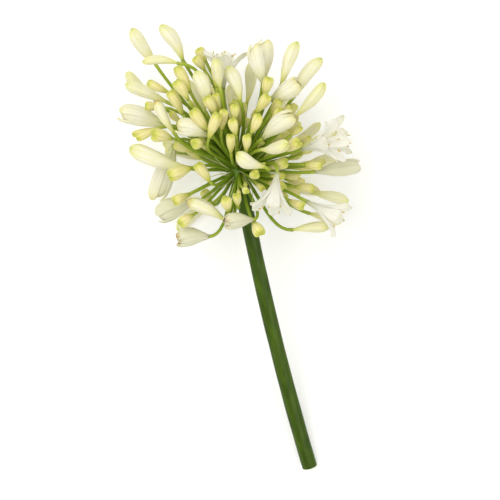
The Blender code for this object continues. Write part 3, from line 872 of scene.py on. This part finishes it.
def buildSpatheScar(material):
    # two torn papery collars, where the two halves of the sheath dropped off
    draw = Random(26)
    form = bladeForm(40, 4)
    across, share = form[1][:, :2].T
    shape = bmesh.new()
    for half in range(2):
        torn = 0.45 + 0.3 * np.sin(across * 9 + draw.uniform(0, 6))
        torn += 0.25 * np.sin(across * 23 + draw.uniform(0, 6))
        torn *= 1 - np.abs(across) ** 4
        height = receptacle["scarAlong"] - receptacle["scarHeight"] * share * np.clip(torn, 0.05, 1)
        radius = receptacle["scarRadius"] + 0.9 * share**2 * np.clip(torn, 0, 1)
        angle = half * pi + across * 1.48
        points = placed(turnedTo(umbelCentre, umbelAxis), radius * mm, angle, height * mm)
        addCopy(shape, form, points, draw.random())
    thicken(addPiece("spatheScar", shape, material), receptacle["scarThickness"])


def buildBracteoles(material):
    draw = Random(27)
    form = turnedForm(np.linspace(0, 1, 10), 5)
    shape = bmesh.new()
    steps, radius = receptacle["threadSteps"], receptacle["threadRadius"]
    # every third course of a spiral, apart from those nearest the umbel's axis
    for course in list(spiral(140, 120))[20::3]:
        length = draw.uniform(*receptacle["threadLengths"]) * mm
        curl = drawVector(draw, 1) * 0.35
        route = [umbelCentre + course * (6.5 * mm)]
        for _ in range(steps):
            course = (course + curl * 0.16 + drawVector(draw, 0.08)).normalized()
            route.append(route[-1] + course * (length / steps))
        addTube(shape, form, route, ((0, radius * 1.4), (0.6, radius), (1, radius * 0.35)), draw.random())
    addPiece("bracteoles", shape, material)


# The scape: one smooth oval stem with faint long ridges and a plain cut end

scape = {
    "sides": 64,
    "rings": 60,
    "ridge": 0.07,
    "ridges": 11,
    # width and depth of each step in from the rim of the cut end: green skin, then pale dished pith
    "cutSteps": ((0.225, 0), (0.75, -0.12), (2.2, -0.25)),
    "cutBelow": -200,
}


def facesNearCut(shape):
    return [face for face in shape.faces if face.calc_center_median().y < scape["cutBelow"] * mm]


def buildScape(skin, pith):
    draw = Random(28)
    form = turnedForm(np.linspace(0, 1, scape["rings"]), scape["sides"])
    angle, share, _ = turnedPlaces(form)
    wide = plant["scapeEndRadius"]
    route = [umbelCentre * (1 - t) ** 2 + scapeBend * (2 * (1 - t) * t) + scapeEnd * t**2
             for t in np.linspace(plant["scapeTopShare"], 1, 81)]
    points = alongRoute(form, route, ((0, plant["scapeTopRadius"]), (1, wide)))
    centres = between(share, route)
    swell = 1 + scape["ridge"] / wide * np.cos(scape["ridges"] * angle + 2 * np.sin(share * 3))
    swell += 0.012 * np.sin(share * 17 + draw.uniform(0, 6)) + 0.008 * np.sin(share * 41)
    points = centres + (points - centres) * (swell * 0.985)[:, None] * (1, 1, plant["scapeOval"])
    points[:, 2] = np.maximum(points[:, 2], 0)
    shape = bmesh.new()
    addCopy(shape, form, points)
    bmesh.ops.dissolve_faces(shape, faces=[face for face in facesNearCut(shape) if len(face.verts) == 3])
    cap = [face for face in facesNearCut(shape) if len(face.verts) > 8]
    for width, depth in scape["cutSteps"]:
        bmesh.ops.inset_region(shape, faces=cap, thickness=width * mm, depth=depth * mm)
    for face in facesNearCut(shape):
        if abs(face.normal.y) > 0.8:
            face.material_index = 1
    bmesh.ops.triangulate(shape, faces=cap)
    piece = addPiece("scapeSkin", shape, skin, pith, slot="scape", nodes=("scape",))
    piece.data.set_sharp_from_angle(angle=radians(50))


# Materials, each with its look beside it

# colours from base to tip and the greener one; veins to a round, their colour and strength; folds to a
# round; weight, radius and millimetres of the scatter
tepalLooks = {
    "creamBudTepal": (
        ((0, "#A8B544"), (0.07, "#C9CE6C"), (0.2, "#E3E1AE"), (0.42, "#ECE9D2"), (0.74, "#EDEAD6"),
         (0.88, "#E8E7BC"), (0.96, "#DCDF96"), (1, "#C4CC68")),
        "#DFDD94", 15, "#E2DDA6", 0.3, 6, 0.5, (1, 0.95, 0.6), 2,
    ),
    # its greener colour is also the painted shade of the low opening buds
    "whiteOpeningTepal": (
        ((0, "#AAB850"), (0.08, "#CFD488"), (0.24, "#ECE8BC"), (0.55, "#F6F1DA"), (0.86, "#F2EDC8"),
         (0.96, "#E6DFA0"), (1, "#D4CE80")),
        "#DCDBBC", 5, "#E2DFB8", 0.3, 2, 0.4, (1, 0.97, 0.84), 1,
    ),
    "whiteFlowerTepal": (
        ((0, "#B2C064"), (0.1, "#D8DCA8"), (0.3, "#F0EDD6"), (0.6, "#FAF7E8"), (0.93, "#F8F5E2"),
         (1, "#E6E4BC")),
        "#E8E7CE", 4, "#E4E4CC", 0.25, 2, 0.7, (1, 0.98, 0.88), 2.4,
    ),
    "youngGreenBud": (
        ((0, "#9EAA3A"), (0.16, "#CACA68"), (0.42, "#E9DFA6"), (0.76, "#EDE3AA"), (0.9, "#DCD97A"),
         (1, "#B6BE4C")),
        "#C4C656", 9, "#D6D484", 0.18, 6, 0.45, (1, 0.92, 0.5), 1.8,
    ),
}
tepalSkin = {
    # millimetres and detail of the patches, the waver of the veins, the dry scraps and the skin's cells
    "grains": ((7, 3), (5, 2), (2, 3), (0.5, 2)),
    "dryColour": "#B5853C",
    "relief": 0.05,
    "roughness": 0.42,
}


def tepalMaterial(name):
    # thin plant tissue full of air and water: light passes into it, and its skin is a satin of tiny cells
    stops, greener, veins, veinColour, veinStrength, folds, subsurface, radius, scatter = tepalLooks[name]
    material, add, _, patches, waver, scraps, cells = newMaterial(name, *tepalSkin["grains"])
    across = add("SeparateXYZ", (add("UVMap", uv_map="alongUv"),))
    along = across.node.outputs[1]
    tone, wither = [add("Attribute", output="Fac", attribute_name=name) for name in ("tone", "wither")]
    # 0 on the middle of a tepal and 1 halfway to the next one
    turns = add("Math", (across, folds, -folds / 2), operation="MULTIPLY_ADD")
    fromRib = add("Math", (turns, 1), operation="PINGPONG")
    patch, rib = add("MapRange", (patches, 0.44, 0.8)), add("MapRange", (fromRib, 0.16, 0))
    # a higher tone is greener; on the low opening buds it is painted shade
    greens = [(tone, 0.75), (patch, 0.35), (rib, 0.5)]
    if folds > 3:
        # the margins of the outer tepals, greenish where they lie on the inner ones
        fromMargin = add("Math", (fromRib, 0.67, 0.09), operation="COMPARE")
        upper = add("MapRange", (along, 0.3, 0.7))
        greens.append((add("Math", (fromMargin, upper), operation="MULTIPLY"), 0.5))
    # veins run the length of the tepal, wavering a little
    phase = add("Math", (across, veins * tau, waver), operation="MULTIPLY_ADD")
    wave = add("Math", (phase,), operation="SINE")
    vein = add("MapRange", (wave, 0.1, 1), interpolation_type="SMOOTHSTEP")
    # a few tips are dry and brown
    tip = add("MapRange", (along, 0.86, 0.98, 0, wither))
    spread = add("MapRange", (scraps, 0.35, 0.6))
    dry = add("Math", (tip, spread), operation="MULTIPLY")
    layers = [(*green, greener) for green in greens]
    layers += [(vein, veinStrength, veinColour), (dry, 1, tepalSkin["dryColour"])]
    colour = add("ValToRGB", (along,), stops=stops)
    height = add("Math", (vein, -0.8, cells), operation="MULTIPLY_ADD")
    roughness = add("Math", (cells, 0.16, tepalSkin["roughness"]), operation="MULTIPLY_ADD")
    finishMaterial(add, colour, layers, height, tepalSkin["relief"], {
        "Roughness": roughness, "IOR": 1.4, "Specular IOR Level": 0.3,
        "Subsurface Weight": subsurface, "Subsurface Radius": radius,
        "Subsurface Scale": scatter * mm,
    })
    return material


stalkLook = {
    "stops": ((0, "#50700A"), (0.3, "#678612"), (0.7, "#849E22"), (0.93, "#9FB03C"), (1, "#B4BE58")),
    "darker": "#52700E",
    "lighter": "#A2B238",
    "streak": 2.5,
    "ribs": 9,
    "relief": 0.04,
}


def stalkMaterial():
    # living green stalk: smooth, faintly glossy, paler towards the floret
    material, add, _, streaks = newMaterial("greenStalk", (stalkLook["streak"], 3))
    across = add("SeparateXYZ", (add("UVMap", uv_map="alongUv"),))
    tone = add("Attribute", output="Fac", attribute_name="tone")
    turns = add("Math", (across, stalkLook["ribs"] * tau), operation="MULTIPLY")
    ribs = add("Math", (turns,), operation="SINE")
    height = add("Math", (ribs, 0.3, streaks), operation="MULTIPLY_ADD")
    colour = add("ValToRGB", (across.node.outputs[1],), stops=stalkLook["stops"])
    layers = (tone, 0.4, stalkLook["darker"]), (streaks, 0.3, stalkLook["lighter"])
    finishMaterial(add, colour, layers, height, stalkLook["relief"], {
        "Roughness": 0.46, "IOR": 1.42, "Specular IOR Level": 0.2,
    })
    return material


stemLook = {
    "stops": ((0.25, "#273A05"), (0.5, "#344B06"), (0.72, "#455F0A")),
    # millimetres and detail of the fibres and bands, which are drawn out along the stem, and the wax
    "streaks": ((0.9, 3), (4, 2)),
    "clouds": (22, 3),
    "fibreColour": "#46600E",
    "waxColour": "#526A1E",
    "speck": 3.2,
    "speckColour": "#607A26",
    "relief": 0.05,
}


def stemMaterial():
    # smooth plant skin with long fine fibres under a thin wax, so soft gloss and pale streaks
    material, add, place, clouds = newMaterial("waxyGreenStem", stemLook["clouds"])
    drawn = add("Mapping", {"Vector": place, "Scale": (1, 0.04, 1)})
    fibres, bands = [add("TexNoise", {"Vector": drawn, "Scale": 1 / (size * mm), "Detail": detail})
                     for size, detail in stemLook["streaks"]]
    specks = add("TexVoronoi", {"Vector": place, "Scale": 1 / (stemLook["speck"] * mm)}, "Distance")
    wax = add("MapRange", (clouds, 0.5, 0.75))
    speck = add("MapRange", (specks, 0.14, 0.06))
    colour = add("ValToRGB", (bands,), stops=stemLook["stops"])
    layers = ((fibres, 0.4, stemLook["fibreColour"]), (wax, 0.28, stemLook["waxColour"]),
              (speck, 0.35, stemLook["speckColour"]))
    roughness = add("Math", (wax, 0.14, 0.4), operation="MULTIPLY_ADD")
    finishMaterial(add, colour, layers, fibres, stemLook["relief"], {
        "Roughness": roughness, "IOR": 1.45, "Specular IOR Level": 0.22,
    })
    return material


# plant stuff with no marks but mottling: its colours, grain and relief in millimetres, roughness and
# subsurface weight
mottledLooks = {
    # the same green as the stalks, yellower where they part
    "greenReceptacle": (((0.3, "#47690F"), (0.55, "#63851F"), (0.75, "#869A38")), 3, 0.2, 0.5, 0),
    # wet spongy pith with tiny pores
    "spongyPith": (((0.3, "#9DB56A"), (0.5, "#CBD9A2"), (0.7, "#DFE7C2")), 0.5, 0.12, 0.55, 0.2),
    # the dead brown edge of the fallen sheath
    "dryPaper": (((0.3, "#876A40"), (0.55, "#B59C70"), (0.75, "#CFC09A")), 1.5, 0.05, 0.7, 0),
    # thin papery threads, dried to straw
    "paleThread": (((0.3, "#BCC077"), (0.6, "#D5D796"), (0.8, "#E0E0B4")), 1.5, 0.05, 0.6, 0),
    # smooth white flesh, as the tepals are
    "whiteFilament": (((0.3, "#E4E4CC"), (0.7, "#F0F0E2")), 1.5, 0.05, 0.5, 0.2),
    # ripe pollen, dusty and matt
    "pollenAnther": (((0.3, "#B29A4C"), (0.5, "#D8C070"), (0.7, "#ECDC9C")), 0.6, 0.08, 0.85, 0),
}


def mottledMaterial(name):
    stops, grain, relief, roughness, subsurface = mottledLooks[name]
    material, add, _, mottle = newMaterial(name, (grain, 3))
    finishMaterial(add, add("ValToRGB", (mottle,), stops=stops), (), mottle, relief, {
        "Roughness": roughness, "IOR": 1.42, "Subsurface Weight": subsurface,
        "Subsurface Radius": (1, 0.95, 0.8), "Subsurface Scale": 0.8 * mm,
    })
    return material


pollenAnther, whiteFilament = mottledMaterial("pollenAnther"), mottledMaterial("whiteFilament")
mouthDraw = Random(35)
partedFlorets = [floret for floret in openingFlorets if mouthDraw.random() < tepal["partedMouths"]]
print(len(partedFlorets), "buds with parted tips")
buildScape(stemMaterial(), mottledMaterial("spongyPith"))
buildReceptacle(mottledMaterial("greenReceptacle"))
buildSpatheScar(mottledMaterial("dryPaper"))
buildBracteoles(mottledMaterial("paleThread"))
buildPedicels(stalkMaterial())
print("stem and stalks made")
buildClosedBuds(tepalMaterial("creamBudTepal"))
buildYoungBuds(tepalMaterial("youngGreenBud"))
buildOpeningBuds(tepalMaterial("whiteOpeningTepal"))
print("buds made")
buildOpenFlowers(tepalMaterial("whiteFlowerTepal"))
buildStamens(whiteFilament, pollenAnther)
buildBudStamens(whiteFilament, pollenAnther)
print("open flowers made")


# The table, soft light from the upper left, and a camera that looks straight down, in metres

studio = {
    "floorSize": 12,
    "floorStops": ((0.2, "#EAEAE9"), (0.9, "#E6E6E5")),
    "tableGlow": 0.34,
    # name, power, size and place
    "lights": (("keyLight", 32, 2, (-0.7, 0.66, 2.15)), ("fillLight", 9, 1.2, (0.8, -0.9, 1.6))),
    "worldColour": (1, 0.98, 0.93, 1),
    "worldStrength": 0.59,
    "lens": 120,
    "sensor": 36,
    "frameWidth": 0.375,
    "roll": -13.8,
    "aim": (-0.006, -0.059, 0.07),
}
floor = bmesh.new()
bmesh.ops.create_grid(floor, x_segments=1, y_segments=1, size=studio["floorSize"] / 2)
tableMaterial, add, _, grain = newMaterial("matteWhiteTable", (3, 2))
tableColour = add("ValToRGB", (grain,), stops=studio["floorStops"])
# a light table, which glows a little, so that nothing under the flower goes grey
finishMaterial(add, tableColour, (), grain, 0.01, {
    "Roughness": 0.8, "Specular IOR Level": 0.2,
    "Emission Color": tableColour, "Emission Strength": studio["tableGlow"],
})
table = newObject("tableTop", floor, tableMaterial)

for name, power, size, place in studio["lights"]:
    light = bpy.data.lights.new(name, "AREA")
    light.energy = power
    light.shape = "DISK"
    light.size = size
    lamp = addObject(name, light)
    lamp.location = place
    lamp.rotation_euler = (umbelCentre - Vector(place)).to_track_quat("-Z", "Y").to_euler()

world = bpy.data.worlds.new("paleRoom")
world.use_nodes = True
background = world.node_tree.nodes["Background"].inputs
background["Color"].default_value = studio["worldColour"]
background["Strength"].default_value = studio["worldStrength"]
scene.world = world
scene.view_settings.view_transform = "Standard"

cameraData = bpy.data.cameras.new("camera")
cameraData.lens = studio["lens"]
cameraData.sensor_width = studio["sensor"]
camera = addObject("camera", cameraData)
distance = studio["frameWidth"] * studio["lens"] / studio["sensor"]
camera.location = Vector(studio["aim"]) + Vector((0, 0, distance))
camera.rotation_euler = (0, 0, radians(studio["roll"]))
scene.camera = camera
